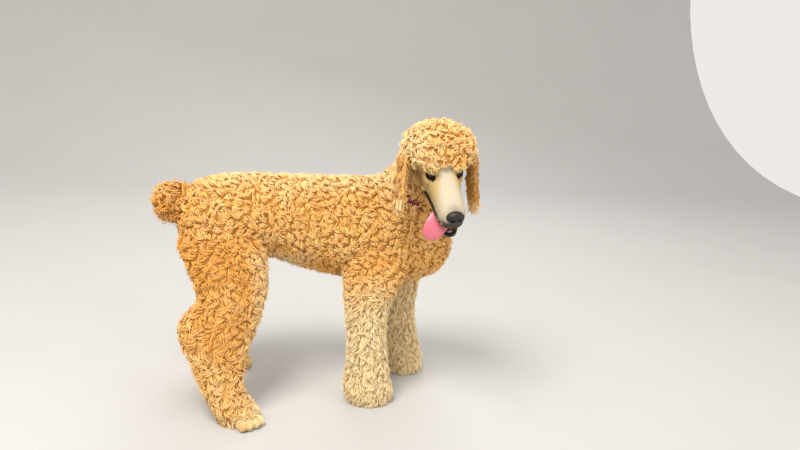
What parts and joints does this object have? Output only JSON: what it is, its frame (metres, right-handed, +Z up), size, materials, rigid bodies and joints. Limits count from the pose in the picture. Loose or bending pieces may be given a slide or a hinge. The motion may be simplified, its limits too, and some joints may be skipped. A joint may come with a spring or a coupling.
{
  "type": "standard poodle",
  "caption": "Life-size still model of a standing standard poodle with a curly apricot coat, shaved face, open mouth and a thin collar, its head turned to its right.",
  "frame": {"origin": "on the floor, under the middle of the whole model's box", "axes": "+X towards the dog's chest, +Y towards its left side, +Z up"},
  "size_m": [0.8397, 0.5179, 0.8049],
  "materials": {
    "coat": "matte",
    "face": "matte",
    "nose": "satin",
    "eye": "gloss",
    "tongue": "satin",
    "collar": "matte"
  },
  "bodies": {
    "root": {"torso": "coat", "neck": "coat", "head": "coat", "jaw": "face", "tongue": "tongue", "nose": "nose", "eye_left": "eye", "eye_right": "eye", "ear_left": "coat", "ear_right": "coat", "collar": "collar", "tail": "coat", "foreleg_left": "coat", "foreleg_right": "coat", "forepaw_left": "coat", "forepaw_right": "coat", "hindleg_left": "coat", "hindleg_right": "coat", "hindpaw_left": "coat", "hindpaw_right": "coat"}
  },
  "joints": []
}
